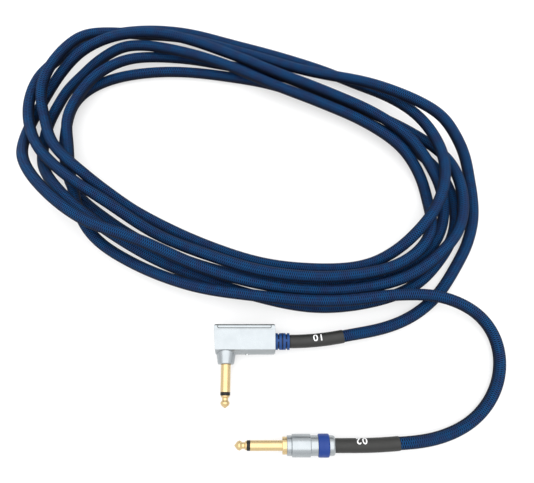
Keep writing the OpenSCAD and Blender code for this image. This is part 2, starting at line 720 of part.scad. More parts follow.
module ground_rivet()
    color("silver") at_angle_pin() translate([rivet_at, 0, 0]) {
        translate([0, 0, -rivet_button_t]) cylinder(d = rivet_button_d, h = rivet_button_t);
        translate([0, 0, -0.1]) cylinder(d = rivet_d, h = housing_wall + lug_t + 0.2);
        translate([0, 0, housing_wall + lug_t]) cylinder(d = rivet_button_d, h = rivet_button_t);
    }

// Contact of the angle plug's tip: a disc round the rod and a raised arm under the core's wire.
angle_tip_lug_at = flange_end + lug_t + washer_t;
wire_rest = cord_side - wire_d / 2 - grip;
module angle_tip_lug()
    color("goldenrod") difference() {
        union() {
            at_angle_pin() translate([0, 0, angle_tip_lug_at]) cylinder(d = 5.4, h = lug_t);
            translate([angle_x, angle_y, angle_z - lug_w / 2]) linear_extrude(height = lug_w) {
                translate([riser_at, angle_tip_lug_at]) square([lug_t, wire_rest - angle_tip_lug_at]);
                translate([riser_at, wire_rest - lug_t]) square([angle_arm_len, lug_t]);
            }
        }
        at_angle_pin() translate([0, 0, angle_tip_lug_at - 1])
            cylinder(d = rod_d + running, h = lug_t + 2);
    }

module angle_wire()
    color("orange") at_angle_cord() translate([0, 0, angle_wire_from])
        cylinder(d = wire_d, h = angle_core_from - angle_wire_from);

module angle_core()
    color("white") at_angle_cord() translate([0, 0, angle_core_from])
        cylinder(d = core_d, h = angle_jacket_at - angle_core_from);

module angle_shield()
    color("orange") at_angle_cord() translate([0, -shield_aside, shield_from])
        cylinder(d = wire_d, h = angle_jacket_at - shield_from);

module angle_cord_end() color("navy") {
    at_angle_cord() translate([0, 0, angle_jacket_at])
        cylinder(d = cord_d, h = housing_far + boot_len - angle_jacket_at);
    translate([angle_x + housing_far + boot_len, angle_y + cord_side, angle_z])
        bent_tube(cord_d, 0, angle_shrink_len, angle_shrink_bend);
}

module angle_shrink_sleeve()
    color("dimgray") translate([angle_x + housing_far + boot_len, angle_y + cord_side, angle_z])
        bent_tube(shrink_d, shrink_bore, angle_shrink_len, angle_shrink_bend);

// Ribbed strain relief: a tube through the housing's wall, a flange inside it, ribs outside.
rib_pitch = (boot_len + boot_groove) / rib_count;
rib_len = rib_pitch - boot_groove;
module angle_boot()
    color("royalblue") at_angle_cord() difference() {
        union() {
            translate([0, 0, boot_flange_at]) cylinder(d = boot_d - 0.4, h = boot_flange_t);
            translate([0, 0, boot_flange_at]) cylinder(d = boot_neck_d, h = boot_flange_t + housing_wall + 1);
            translate([0, 0, housing_far]) cylinder(d = boot_neck_d + 0.4, h = boot_len);
            for (i = [0 : rib_count - 1]) translate([0, 0, housing_far + i * rib_pitch])
                cylinder(d = boot_d, h = rib_len);
            // bridges between the ribs, turned by a quarter from one groove to the next
            for (i = [0 : rib_count - 2], a = [0, 180]) rotate([0, 0, a + 90 * (i % 2)])
                translate([boot_neck_d / 2 - 2 * bridge_sunk, -bridge_w / 2,
                           housing_far + i * rib_pitch + rib_len - bridge_sunk])
                    cube([(boot_d - boot_neck_d) / 2 + bridge_sunk, bridge_w,
                          boot_groove + 2 * bridge_sunk]);
        }
        translate([0, 0, boot_flange_at - 1])
            cylinder(d = boot_bore, h = boot_flange_t + housing_wall + boot_len + 2);
    }

// ---- free cord ----

angle_heading = [cos(angle_shrink_bend), sin(angle_shrink_bend), 0];
straight_heading = -[cos(straight_shrink_bend), sin(straight_shrink_bend), 0];
module cord_coil()
    color("steelblue") swept(coil_path, cord_r, 6, coil_heading_in, coil_heading_out);
module angle_tail()
    color("steelblue") swept(angle_path, cord_r, 8, angle_heading, coil_heading_in);
module straight_tail()
    color("steelblue") swept(straight_path, cord_r, 8, coil_heading_out, straight_heading);

straight_tip();
straight_insulating_ring();
straight_sleeve();
straight_insulating_tube();
straight_rod();
straight_washer();
straight_tip_lug();
straight_ground_lug();
straight_shell();
straight_liner();
straight_chuck();
colour_ring();
rear_nut();
straight_shrink_sleeve();
straight_cord_end();
straight_core();
straight_wire();
straight_shield();
angle_tip();
angle_insulating_ring();
angle_sleeve();
angle_insulating_tube();
angle_rod();
angle_washer();
angle_tip_lug();
angle_ground_lug();
ground_rivet();
angle_housing();
angle_cover();
angle_boot();
angle_shrink_sleeve();
angle_cord_end();
angle_core();
angle_wire();
angle_shield();
cord_coil();
angle_tail();
straight_tail();
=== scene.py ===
# %% [markdown]
# # A coiled instrument cable with two plugs
#
# The object is five metres of braided cord, laid down in a loose coil, with a straight plug at
# one end and a right-angle plug at the other. The engineering model already holds every solid
# part at its real size. This file dresses it: the visible pieces get finer surfaces, and
# everything gets a procedural finish. It starts by loading that model as a fixed frame.

# %% Load the frame
import json
import bmesh
import bpy
import numpy as np
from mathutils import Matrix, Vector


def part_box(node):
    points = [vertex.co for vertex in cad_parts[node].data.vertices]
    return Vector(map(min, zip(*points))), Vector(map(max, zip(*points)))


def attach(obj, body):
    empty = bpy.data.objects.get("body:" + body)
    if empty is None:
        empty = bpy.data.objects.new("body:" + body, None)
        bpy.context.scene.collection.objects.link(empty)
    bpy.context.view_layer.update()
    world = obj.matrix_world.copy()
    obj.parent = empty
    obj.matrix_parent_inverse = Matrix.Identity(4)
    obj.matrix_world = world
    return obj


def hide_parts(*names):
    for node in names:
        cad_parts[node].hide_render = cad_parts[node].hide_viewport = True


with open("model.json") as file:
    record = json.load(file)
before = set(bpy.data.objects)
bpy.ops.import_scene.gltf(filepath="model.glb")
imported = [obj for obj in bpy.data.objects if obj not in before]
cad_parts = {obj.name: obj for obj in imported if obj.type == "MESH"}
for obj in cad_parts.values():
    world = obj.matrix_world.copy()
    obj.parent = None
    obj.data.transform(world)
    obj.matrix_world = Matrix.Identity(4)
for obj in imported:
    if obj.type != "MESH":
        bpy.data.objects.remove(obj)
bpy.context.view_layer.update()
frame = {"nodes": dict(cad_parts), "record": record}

MM = 0.001

# %% [markdown]
# ## The camera
#
# A cable that is laid out to be shown is looked at from nearly above. The camera stands south of
# the coil's middle and looks at one point of the floor. A lens is easiest to choose by its focal
# length in picture widths: the render is 534 pixels wide, and a focal length of 540 pixels is a
# moderately wide lens that makes near plugs a little larger than the far side of the coil.

# %% Place the camera
PICTURE_WIDTH_PX = 534
FOCAL_LENGTH_PX = 540
SENSOR_MM = 36
AIM_MM = np.array([-24.6, 102.5, 0.0])
CAMERA_DISTANCE_MM = 387
CAMERA_ELEVATION_DEG = 72


def placed(name, data):
    """An object that shows some data, linked into the scene at the origin."""
    thing = bpy.data.objects.new(name, data)
    bpy.context.collection.objects.link(thing)
    return thing


def place_camera():
    """The camera looks along +Y and down, from a distance and an elevation, at the aim point."""
    data = bpy.data.cameras.new("camera")
    data.sensor_fit = "HORIZONTAL"
    data.sensor_width = SENSOR_MM
    data.lens = SENSOR_MM * FOCAL_LENGTH_PX / PICTURE_WIDTH_PX
    camera = placed("camera", data)
    elevation = np.radians(CAMERA_ELEVATION_DEG)
    back = np.array([0.0, -np.cos(elevation), np.sin(elevation)])
    camera.location = (AIM_MM + CAMERA_DISTANCE_MM * back) * MM
    camera.rotation_euler = (np.pi / 2 - elevation, 0, 0)
    bpy.context.scene.camera = camera
    bpy.context.scene.view_settings.view_transform = "Standard"
    return camera


print("camera at", list(place_camera().location))

# %% [markdown]
# ## Meshes from arrays
#
# Almost every piece here is either a profile turned round an axis or a section carried along a
# path. Both are a grid of points: rows along, columns around. One helper turns such a grid into
# a closed mesh, so that each piece only has to say where its points are. The columns always
# wrap round. The rows wrap too for a ring, or else both ends get a cap.

# %% A grid of points becomes a closed mesh
SHARP_ANGLE_DEG = 40
MERGE_M = 1e-7


def grid_faces(rows, columns, wrap_rows):
    """Quads between each row and the next; column indices wrap round, row indices if asked."""
    i = np.arange(rows if wrap_rows else rows - 1)[:, None]
    j = np.arange(columns)[None, :]
    i2 = (i + 1) % rows
    j2 = (j + 1) % columns
    corners = [i * columns + j, i * columns + j2, i2 * columns + j2, i2 * columns + j]
    return np.stack([np.broadcast_to(c, (len(i), columns)) for c in corners], -1).reshape(-1, 4)


def grid_uv(rows, columns, wrap_rows, along):
    """UV per face corner: U is the distance along in metres, V runs once from 0 to 1 around."""
    i = np.arange(rows if wrap_rows else rows - 1)[:, None]
    j = np.arange(columns)[None, :]
    u = np.stack([np.broadcast_to(along[k], (len(i), columns))
                  for k in (i, i, (i + 1) % rows, (i + 1) % rows)], -1)
    v = np.stack([np.broadcast_to(k / columns, (len(i), columns))
                  for k in (j, j + 1, j + 1, j)], -1)
    return np.stack([u, v], -1).reshape(-1, 2)


def closed_mesh(name, points, wrap_rows=False, along=None):
    """A mesh object from a (rows, columns, 3) grid in metres, with its faces outwards."""
    rows, columns, _ = points.shape
    faces = grid_faces(rows, columns, wrap_rows).tolist()
    if not wrap_rows:
        faces.append(list(range(columns)))
        faces.append([(rows - 1) * columns + k for k in range(columns)][::-1])
    mesh = bpy.data.meshes.new(name)
    mesh.from_pydata(points.reshape(-1, 3).tolist(), [], faces)
    if along is None:
        along = np.linspace(0, 1, rows)
    uv = np.zeros((len(mesh.loops), 2))
    side_uv = grid_uv(rows, columns, wrap_rows, along)
    uv[:len(side_uv)] = side_uv
    mesh.uv_layers.new(name="wrap").data.foreach_set("uv", uv.ravel().astype(np.float32))
    return finished(name, mesh)


def finished(name, mesh):
    """Merge points that coincide, turn the faces outwards, and shade smooth between creases."""
    work = bmesh.new()
    work.from_mesh(mesh)
    bmesh.ops.remove_doubles(work, verts=work.verts, dist=MERGE_M)
    bmesh.ops.recalc_face_normals(work, faces=work.faces)
    work.to_mesh(mesh)
    work.free()
    mesh.set_sharp_from_angle(angle=np.radians(SHARP_ANGLE_DEG))
    mesh.update()
    return placed(name, mesh)


print("grid helper ready")

# %% [markdown]
# ## The cord's route
#
# The coil has six turns. Each is a wobble about one mean ellipse: a table of lanes says how many
# millimetres a turn runs outside or inside it, every 15 degrees. A second table says in which
# order the turns lie at each place. The heights then follow from a rule and not from a table:
# a turn rests on what lies under it, centre to centre one cord's thickness and a little air.
# The rule is applied a few times, each time widened and smoothed so that the cord climbs over
# its neighbours in long low humps, as a stiff cord does. The free stretches to the plugs are
# plain lists of points, and each sleeve starts at a point and bends evenly over its length.

# %% Numbers of the coil, in millimetres
CORD_D = 8.0
COIL_LONG, COIL_WIDE, COIL_TILT_DEG = 156, 83, -19
COIL_CENTRE = np.array([-42.6, 160.5])
TURN_AIR = 0.9
STATIONS = 24
FINE = 4
TURN_LANES = [
    [15, 18, 24, 22, 14, 9, 7, 10, 17, 21, 21, 12,
     4, -4, -7, -12, -16, -17, -16, -14, -14, -14, -17, -19],
    [-17, -10, 3, 13, 18, 17, 16, 18, 25, 29, 29, 22,
     14, 8, 3, -3, -8, -8, -7, -5, -5, -6, -7, -10],
    [-14, -15, -12, -10, -12, -15, -15, -8, -1, 6, 4, -1,
     -4, 0, 7, 8, 8, 8, 8, 10, 13, 12, 10, 5],
    [4, 4, 3, -2, -7, -10, -10, -12, -12, -12, -12, -13,
     -15, -15, -9, 0, 0, 0, -1, -2, -2, -3, -5, -5],
    [-5, -5, -5, -2, -3, -5, -5, 2, 9, 13, 11, 8,
     8, 13, 16, 15, 12, 4, 3, 3, 3, 3, 3, 2],
    [5, 8, 11, 7, 2, -1, -1, -3, 0, -2, -9, -17,
     -19, -18, -15, -2, 15, 17, 16, 12, 11, 11],
]
TURN_ORDER = [
    (37.5, [5, 6, 2, 1, 3, 4]),
    (52.5, [6, 5, 3, 1, 4, 2]),
    (142.5, [4, 3, 5, 1, 6, 2]),
    (195, [6, 5, 3, 1, 4, 2]),
    (247.5, [5, 6, 3, 1, 4, 2]),
    (340, [4, 5, 2, 1, 3, 6]),
    (360, [6, 3, 1, 2, 4, 5]),
]
ANGLE_ROUTE = [
    [32, 35.1, 7], [40.2, 36.5, 6.6], [48.3, 38.2, 5.6], [56.4, 40.4, 4.6], [64.5, 43.3, 4.1],
    [71.6, 46.6, 4], [78.5, 50.7, 4], [85.3, 55.9, 4], [91.5, 61.5, 4], [97, 67.9, 4],
    [102.4, 75.4, 4], [107.4, 83, 4], [112, 90.4, 4],
]
STRAIGHT_ROUTE = [
    [60, 60.4, 14], [68, 60.8, 13.6], [77, 60.9, 13.4], [86, 60.4, 13.3], [93.9, 58.9, 13.2],
    [100.8, 56.7, 12.4], [107.7, 54, 10.8], [114.4, 50.6, 8.6], [120.4, 46, 6.4], [125, 40.4, 4.9],
    [128.1, 33.8, 4.1], [129.6, 26.4, 4], [129.6, 18.6, 4], [128.3, 11.1, 4], [125.5, 2.8, 4],
    [120.9, -5.2, 4], [114.9, -12.6, 4], [107.7, -18.9, 4], [99.6, -23.9, 4], [91.3, -27.4, 4.2],
    [83.1, -29.9, 5], [75, -31.4, 6.3], [67.4, -32.3, 7.1],
]
ANGLE_SLEEVE_FROM = np.array([-9.7, 30.5, 7.0])
ANGLE_SLEEVE_LEN, ANGLE_SLEEVE_BEND_DEG = 35.9, 11.0
STRAIGHT_SLEEVE_FROM = np.array([29.9, -34.1, 7.1])
STRAIGHT_SLEEVE_LEN, STRAIGHT_SLEEVE_BEND_DEG = 28.5, 5.0
print("turns:", len(TURN_LANES), "stations:", sum(len(t) for t in TURN_LANES))

# %% Lanes and plan of the coil


def turned(x, y, degrees):
    """Plane vectors turned about +Z by an angle."""
    c, s = np.cos(np.radians(degrees)), np.sin(np.radians(degrees))
    return np.stack([x * c - y * s, x * s + y * c], -1)


def smooth_lanes(lanes, fine):
    """Catmull-Rom curve through the lane numbers, read at every fraction 1/fine of a station."""
    v = np.concatenate([[2 * lanes[0] - lanes[1]], lanes, [2 * lanes[-1] - lanes[-2]]])
    a, b, c, d = v[:-3, None], v[1:-2, None], v[2:-1, None], v[3:, None]
    u = np.arange(fine) / fine
    curve = b + u * (c - a) / 2 + u**2 * (2 * a - 5 * b + 4 * c - d) / 2 \
        + u**3 * (3 * b - a - 3 * c + d) / 2
    return np.append(curve.ravel(), lanes[-1])


lane = smooth_lanes(np.concatenate(TURN_LANES).astype(float), FINE)
per_turn = STATIONS * FINE
place = np.arange(len(lane))
angle = np.radians(place * 360 / per_turn)
mean = COIL_CENTRE + turned(COIL_LONG * np.cos(angle), COIL_WIDE * np.sin(angle), COIL_TILT_DEG)
outward = turned(COIL_WIDE * np.cos(angle), COIL_LONG * np.sin(angle), COIL_TILT_DEG)
outward /= np.linalg.norm(outward, axis=1, keepdims=True)
plan = mean + lane[:, None] * outward
print("fine points:", len(plan))

# %% Heights of the coil


def windowed(values, reach, how):
    """how (max or mean) over each value and its neighbours within reach, cut at the two ends."""
    k = np.arange(len(values))[:, None] + np.arange(-reach, reach + 1)
    inside = (k >= 0) & (k < len(values))
    picked = np.where(inside, values[np.clip(k, 0, len(values) - 1)], np.nan)
    return how(picked, axis=1)


def coil_heights(passes=6, widen=3, soften=2):
    """z = max(radius, z below + sqrt(pitch^2 - aside^2)), widened, softened, and repeated."""
    pitch = CORD_D + TURN_AIR
    ends = np.clip(place[:, None] + [-1, 1], 0, len(place) - 1)
    slope = np.diff(lane[ends])[:, 0] / np.linalg.norm(mean[ends[:, 1]] - mean[ends[:, 0]], axis=1)
    squeeze = 1 / np.hypot(1, slope)
    limits = np.array([row[0] for row in TURN_ORDER])
    orders = np.array([row[1] for row in TURN_ORDER])
    degrees = place % per_turn * 360 / per_turn
    rank = orders[np.searchsorted(limits, degrees, side="right"), place // per_turn]
    other = place[:, None] % per_turn + per_turn * np.arange(len(TURN_LANES))
    there = other < len(place)
    other = np.minimum(other, len(place) - 1)
    aside = np.abs(lane[:, None] - lane[other]) * np.minimum(squeeze[:, None], squeeze[other])
    under = there & (rank[other] < rank[:, None]) & (aside < pitch)
    rise = np.sqrt(np.maximum(pitch**2 - aside**2, 0))
    z = np.full(len(place), CORD_D / 2)
    for _ in range(passes):
        lifted = np.where(under, z[other] + rise, CORD_D / 2).max(1)
        z = windowed(windowed(lifted, widen, np.nanmax), soften, np.nanmean)
    return z


heights = coil_heights()
coil_points = np.column_stack([plan, heights])
print("highest turn: %.1f mm" % (heights.max() + CORD_D / 2))

# %% [markdown]
# ## One smooth line from plug to plug
#
# The two free stretches are listed point by point, because that is how a cord lies: as it
# fell. Joined to the coil they make one list of points. A smooth cubic goes through them and is
# measured off in equal steps. A running mean over a few steps then takes out bends tighter than a
# stiff cord makes. The result is the cord's centreline, and its length is the cord's length.

# %% Join the stretches into one centreline
CORD_STEP = 1.5
READ_PER_STEP = 8
ARC_POINTS = 24
SOFTEN_REACH = 4
SOFTEN_PASSES = 2


def unit(v):
    """Vectors scaled to length one."""
    return v / np.linalg.norm(v, axis=-1, keepdims=True)


def run_along(line):
    """The distance from a line's first point to each of its points, along the line."""
    return np.append(0, np.cumsum(np.linalg.norm(np.diff(line, axis=0), axis=1)))


def level(v):
    """A plane direction as a horizontal one in space."""
    return np.append(unit(v), 0.0)


def arc_line(start, length, bend_deg, count):
    """A line that starts along +X and bends evenly towards +Y by an angle over its length."""
    radius = length / np.radians(bend_deg)
    a = np.radians(np.linspace(0, bend_deg, count))
    return start + radius * np.column_stack([np.sin(a), 1 - np.cos(a), 0 * a])


def even_line(points, step):
    """A cubic through the points, slopes by chord length, read at even steps along it."""
    chord = np.linalg.norm(np.diff(points, axis=0), axis=1)
    at = run_along(points)
    inner = np.diff(points, axis=0) / chord[:, None]
    slope = np.empty_like(points)
    weight = (chord[1:] / (chord[1:] + chord[:-1]))[:, None]
    slope[1:-1] = weight * inner[:-1] + (1 - weight) * inner[1:]
    slope[0], slope[-1] = inner[0], inner[-1]
    dense = np.linspace(0, at[-1], int(at[-1] / step * READ_PER_STEP))
    i = np.clip(np.searchsorted(at, dense) - 1, 0, len(chord) - 1)
    h = chord[i][:, None]
    u = (dense - at[i])[:, None] / h
    line = points[i] * (2 * u**3 - 3 * u**2 + 1) + slope[i] * h * (u**3 - 2 * u**2 + u) \
        + points[i + 1] * (3 * u**2 - 2 * u**3) + slope[i + 1] * h * (u**3 - u**2)
    gone = run_along(line)
    even = np.linspace(0, gone[-1], int(gone[-1] / step) + 1)
    return np.column_stack([np.interp(even, gone, line[:, k]) for k in range(3)])


def softened_line(line, reach):
    """Each point becomes the mean of its neighbours within reach, fewer near the two ends."""
    total = np.vstack([np.zeros(3), np.cumsum(line, axis=0)])
    i = np.arange(len(line))
    r = np.minimum(reach, np.minimum(i, len(line) - 1 - i))
    return (total[i + r + 1] - total[i - r]) / (2 * r + 1)[:, None]


heading_in = level(plan[1] - plan[0])
heading_out = level(plan[-1] - plan[-2])
angle_sleeve = arc_line(ANGLE_SLEEVE_FROM, ANGLE_SLEEVE_LEN, ANGLE_SLEEVE_BEND_DEG, ARC_POINTS)
straight_sleeve = arc_line(STRAIGHT_SLEEVE_FROM, STRAIGHT_SLEEVE_LEN,
                           STRAIGHT_SLEEVE_BEND_DEG, ARC_POINTS)
cord_points = np.vstack([
    angle_sleeve[-1:], ANGLE_ROUTE, coil_points[:1] - CORD_D * heading_in, coil_points,
    coil_points[-1:] + CORD_D * heading_out, STRAIGHT_ROUTE, straight_sleeve[-1:]])
cord_line = even_line(cord_points, CORD_STEP)
for _ in range(SOFTEN_PASSES):
    cord_line = softened_line(cord_line, SOFTEN_REACH)

# %% Carry a round section along the centreline
CORD_SIDES = 16


def tube_grid(line, radius, sides):
    """Ring = centre + radius * (cos a * side + sin a * up), with side level and up square to it
    and to the line. The radius is one number, or one for each ring and column."""
    ahead = unit(np.gradient(line, axis=0))
    side = unit(np.cross(ahead, [0.0, 0.0, 1.0]))
    up = np.cross(side, ahead)
    a = 2 * np.pi * np.arange(sides) / sides
    radius = np.broadcast_to(radius, (len(line), sides))[:, :, None]
    return line[:, None] + radius * (np.cos(a)[:, None] * side[:, None]
                                     + np.sin(a)[:, None] * up[:, None])


cord = closed_mesh("braided_cord", tube_grid(cord_line, CORD_D / 2, CORD_SIDES) * MM,
                   along=run_along(cord_line) * MM)
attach(cord, "cable")
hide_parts("cord_coil", "angle_tail", "straight_tail")
print("cord faces:", len(cord.data.polygons))

# %% [markdown]
# ## Shared shader effects
#
# A finish is built from a few effects that many materials share: fine grain, soft mottling, and
# the braid of the jacket. Each effect is a node group that puts out a mask or a height. The
# Principled shader stays in each material, where a renderer and an exporter can read it.

# %% Node group helpers


class Nodes:
    """Short-hand for adding and wiring nodes in one tree."""

    def __init__(self, tree):
        self.tree = tree

    def add(self, kind, **settings):
        """Add a node; settings that name an attribute are set on it."""
        node = self.tree.nodes.new(kind)
        for key, value in settings.items():
            setattr(node, key, value)
        return node

    def math(self, operation, a, b=0.0):
        """A Math node; a and b are sockets or numbers."""
        node = self.add("ShaderNodeMath", operation=operation)
        self.put(node.inputs[0], a)
        self.put(node.inputs[1], b)
        return node.outputs[0]

    def put(self, socket, value):
        """Link a socket, or set it to a plain value."""
        if isinstance(value, bpy.types.NodeSocket):
            self.tree.links.new(value, socket)
        else:
            socket.default_value = value

    def xyz(self, coordinate="Object"):
        """The three parts of a texture coordinate, as sockets."""
        split = self.add("ShaderNodeSeparateXYZ")
        self.put(split.inputs[0], self.add("ShaderNodeTexCoord").outputs[coordinate])
        return split.outputs


def new_group(name, inputs, outputs):
    """An empty shader group with its sockets; returns the tree and its two end nodes."""
    tree = bpy.data.node_groups.new(name, "ShaderNodeTree")
    for label, kind, value in inputs:
        socket = tree.interface.new_socket(label, in_out="INPUT", socket_type=kind)
        if value is not None:
            socket.default_value = value
    for label, kind in outputs:
        tree.interface.new_socket(label, in_out="OUTPUT", socket_type=kind)
    nodes = Nodes(tree)
    return nodes, nodes.add("NodeGroupInput"), nodes.add("NodeGroupOutput")


FLOAT = "NodeSocketFloat"
print("node helpers ready")

# %% Group: fine grain and mottling of a solid finish


def make_grain_group():
    """Two noises on object coordinates: a fine one for grain and a broad one for mottling."""
    n, enter, leave = new_group(
        "grain", [("Fine per metre", FLOAT, 3000.0), ("Broad per metre", FLOAT, 120.0)],
        [("Fine", FLOAT), ("Broad", FLOAT)])
    spot = n.add("ShaderNodeTexCoord").outputs["Object"]
    for label, size, detail in (("Fine", "Fine per metre", 3.0), ("Broad", "Broad per metre", 2.0)):
        noise = n.add("ShaderNodeTexNoise")
        n.put(noise.inputs["Vector"], spot)
        n.put(noise.inputs["Scale"], enter.outputs[size])
        n.put(noise.inputs["Detail"], detail)
        n.put(leave.inputs[label], noise.outputs["Fac"])
    return n.tree


grain_group = make_grain_group()
print("group:", grain_group.name)

# %% Group: the braid of the jacket
BRAID_PITCH_M = 0.0014
BRAID_YARNS = 6.0


def make_braid_group():
    """Two families of yarns wind the opposite ways: a yarn is a crest of cos(along +- around).
    The higher crest of the two is on top at each place, which gives a lattice of short floats.
    Upward is the sine of the angle round the cord: 1 along its top, -1 along its underside."""
    n, enter, leave = new_group(
        "braid", [("Pitch", FLOAT, BRAID_PITCH_M), ("Yarns", FLOAT, BRAID_YARNS)],
        [("Height", FLOAT), ("Upward", FLOAT)])
    uv = n.add("ShaderNodeUVMap", uv_map="wrap")
    split = n.add("ShaderNodeSeparateXYZ")
    n.put(split.inputs[0], uv.outputs[0])
    run = n.math("DIVIDE", split.outputs[0], enter.outputs["Pitch"])
    round_ = n.math("MULTIPLY", split.outputs[1], enter.outputs["Yarns"])
    crests = []
    for way in ("ADD", "SUBTRACT"):
        phase = n.math("MULTIPLY", n.math(way, run, round_), 2 * np.pi)
        crests.append(n.math("COSINE", phase))
    n.put(leave.inputs["Height"], n.math("MAXIMUM", *crests))
    n.put(leave.inputs["Upward"], n.math("SINE", n.math("MULTIPLY", split.outputs[1], 2 * np.pi)))
    return n.tree


braid_group = make_braid_group()
print("group:", braid_group.name)

# %% [markdown]
# ## The materials
#
# Every material sets its plain numbers on the Principled shader itself and lets the groups vary
# colour, roughness and relief around them. Metals are metallic with a roughness that tells them
# apart: the pins are bright turned gold, the shells a soft satin nickel. The jacket has painted
# shade: it is blue along its top and painted nearly black down its sides and underside, by the
# angle round the cord, where shade from light above would fall. The gaps between its yarns are
# painted nearly black as shade in the weave.

# %% Material helpers
NOISE_LOW, NOISE_HIGH = 0.3, 0.7
TONE_LOW, TONE_HIGH = 0.35, 0.7


def new_material(name, base, rough, metallic=0.0, **sockets):
    """A material with one Principled shader; returns it with the node helper and the shader."""
    material = bpy.data.materials.new(name)
    material.use_nodes = True
    n = Nodes(material.node_tree)
    shader = material.node_tree.nodes["Principled BSDF"]
    shader.inputs["Base Color"].default_value = (*base, 1)
    shader.inputs["Roughness"].default_value = rough
    shader.inputs["Metallic"].default_value = metallic
    for label, value in sockets.items():
        shader.inputs[label.replace("_", " ")].default_value = value
    return material, n, shader


def blended(n, factor, low, high, start=0.0, end=1.0):
    """A colour that goes from low to high as factor goes from start to end."""
    ramp = n.add("ShaderNodeMapRange", clamp=True)
    n.put(ramp.inputs["Value"], factor)
    ramp.inputs["From Min"].default_value = start
    ramp.inputs["From Max"].default_value = end
    mix = n.add("ShaderNodeMix", data_type="RGBA")
    n.put(mix.inputs["Factor"], ramp.outputs[0])
    colours = [s for s in mix.inputs if s.type == "RGBA"]
    n.put(colours[0], low if isinstance(low, bpy.types.NodeSocket) else (*low, 1))
    n.put(colours[1], high if isinstance(high, bpy.types.NodeSocket) else (*high, 1))
    return [s for s in mix.outputs if s.type == "RGBA"][0]


def varied(n, factor, low, high):
    """A number that goes from low to high over the values that a noise mostly takes."""
    ramp = n.add("ShaderNodeMapRange", clamp=True)
    n.put(ramp.inputs["Value"], factor)
    for label, value in (("From Min", NOISE_LOW), ("From Max", NOISE_HIGH),
                         ("To Min", low), ("To Max", high)):
        ramp.inputs[label].default_value = value
    return ramp.outputs[0]


def relief(n, shader, height, depth):
    """Wire a height into the shader's normal through a Bump node."""
    bump = n.add("ShaderNodeBump")
    bump.inputs["Strength"].default_value = 1.0
    bump.inputs["Distance"].default_value = depth
    n.put(bump.inputs["Height"], height)
    n.put(shader.inputs["Normal"], bump.outputs[0])


def grain(n, fine, broad):
    """Place the grain group with its two sizes."""
    node = n.add("ShaderNodeGroup", node_tree=grain_group)
    node.inputs["Fine per metre"].default_value = fine
    node.inputs["Broad per metre"].default_value = broad
    return node


print("material helpers ready")

# %% Materials of the cord
YARN_BLUE = (0.001, 0.066, 0.208)
YARN_PURPLE = (0.011, 0.042, 0.145)
# Painted shade: the near-black tone of the jacket's flanks and underside.
YARN_PAINTED_SHADE = (0.0005, 0.005, 0.022)
# Painted shade: the near-black tone in the gaps between the yarns.
YARN_GAP_SHADE = (0.000, 0.002, 0.010)
YARN_GRAIN, YARN_PATCHES = 6000.0, 160.0
YARN_ROUGH = (0.62, 0.85)
YARN_RELIEF_M = 0.00025
PURPLE_SPAN, PAINTED_SHADE_SPAN, GAP_SHADE_SPAN = (0.4, 0.65), (0.25, 0.95), (0.42, 1.0)


def make_jacket():
    """Woven textile: blue yarns with a faint second tone, relief per float, and painted shade:
    nearly black in the gaps between the yarns and down the flanks and underside.
    """
    material, n, shader = new_material("jacket_braid", YARN_BLUE, 0.72, Specular_IOR_Level=0.15)
    braid = n.add("ShaderNodeGroup", node_tree=braid_group)
    g = grain(n, YARN_GRAIN, YARN_PATCHES)
    tone = blended(n, g.outputs["Broad"], YARN_BLUE, YARN_PURPLE, *PURPLE_SPAN)
    # Painted shade: the tone goes nearly black down the flanks and underside, by the angle round
    # the cord.
    shaded_tone = blended(n, braid.outputs["Upward"], YARN_PAINTED_SHADE, tone, *PAINTED_SHADE_SPAN)
    # Painted shade: the low places of the braid, between the yarns, go nearly black.
    colour = blended(n, braid.outputs["Height"], YARN_GAP_SHADE, shaded_tone, *GAP_SHADE_SPAN)
    n.put(shader.inputs["Base Color"], colour)
    n.put(shader.inputs["Roughness"], varied(n, g.outputs["Fine"], *YARN_ROUGH))
    relief(n, shader, braid.outputs["Height"], YARN_RELIEF_M)
    return material


jacket = make_jacket()
cord.data.materials.append(jacket)
print("material:", jacket.name)

# %% Materials of the metal and plastic pieces
FINE_GRAIN, BROAD_GRAIN, GRAIN_DEPTH = 2500.0, 150.0, 0.00002
SATIN_GRAIN, SATIN_DEPTH = 9000.0, 0.000004
SMOOTHEST, ROUGHEST = 0.85, 1.2
NICKEL, NICKEL_SECOND, NICKEL_ROUGH = (0.36, 0.385, 0.40), (0.345, 0.37, 0.385), 0.28
BOOT_RIB, BOOT_SECOND = (0.005, 0.045, 0.175), (0.003, 0.038, 0.155)
# Painted shade: the dark tone at the bottom of the boot's grooves.
BOOT_GROOVE_SHADE = (0.001, 0.006, 0.035)
BOOT_AXIS_Y, BOOT_AXIS_Z = 0.0305, 0.007
BOOT_FULL_SHADE_R, BOOT_NO_SHADE_R = 0.0049, 0.0054


def toned(n, g, base, second):
    """The base colour with a second tone in broad patches."""
    return blended(n, g.outputs["Broad"], base, second, TONE_LOW, TONE_HIGH)


def wire_finish(n, shader, g, colour, roughs, depth):
    """Wire a colour, a roughness that varies in broad patches, and a very fine relief."""
    n.put(shader.inputs["Base Color"], colour)
    n.put(shader.inputs["Roughness"], varied(n, g.outputs["Broad"], *roughs))
    relief(n, shader, g.outputs["Fine"], depth)


def make_plain(name, base, second, rough, metallic=0.0, fine=FINE_GRAIN, broad=BROAD_GRAIN,
               depth=GRAIN_DEPTH, **sockets):
    """A solid finish: a faint second tone, a roughness that varies, and a very fine grain."""
    material, n, shader = new_material(name, base, rough, metallic, **sockets)
    g = grain(n, fine, broad)
    wire_finish(n, shader, g, toned(n, g, base, second), (rough * SMOOTHEST, rough * ROUGHEST),
                depth)
    return material


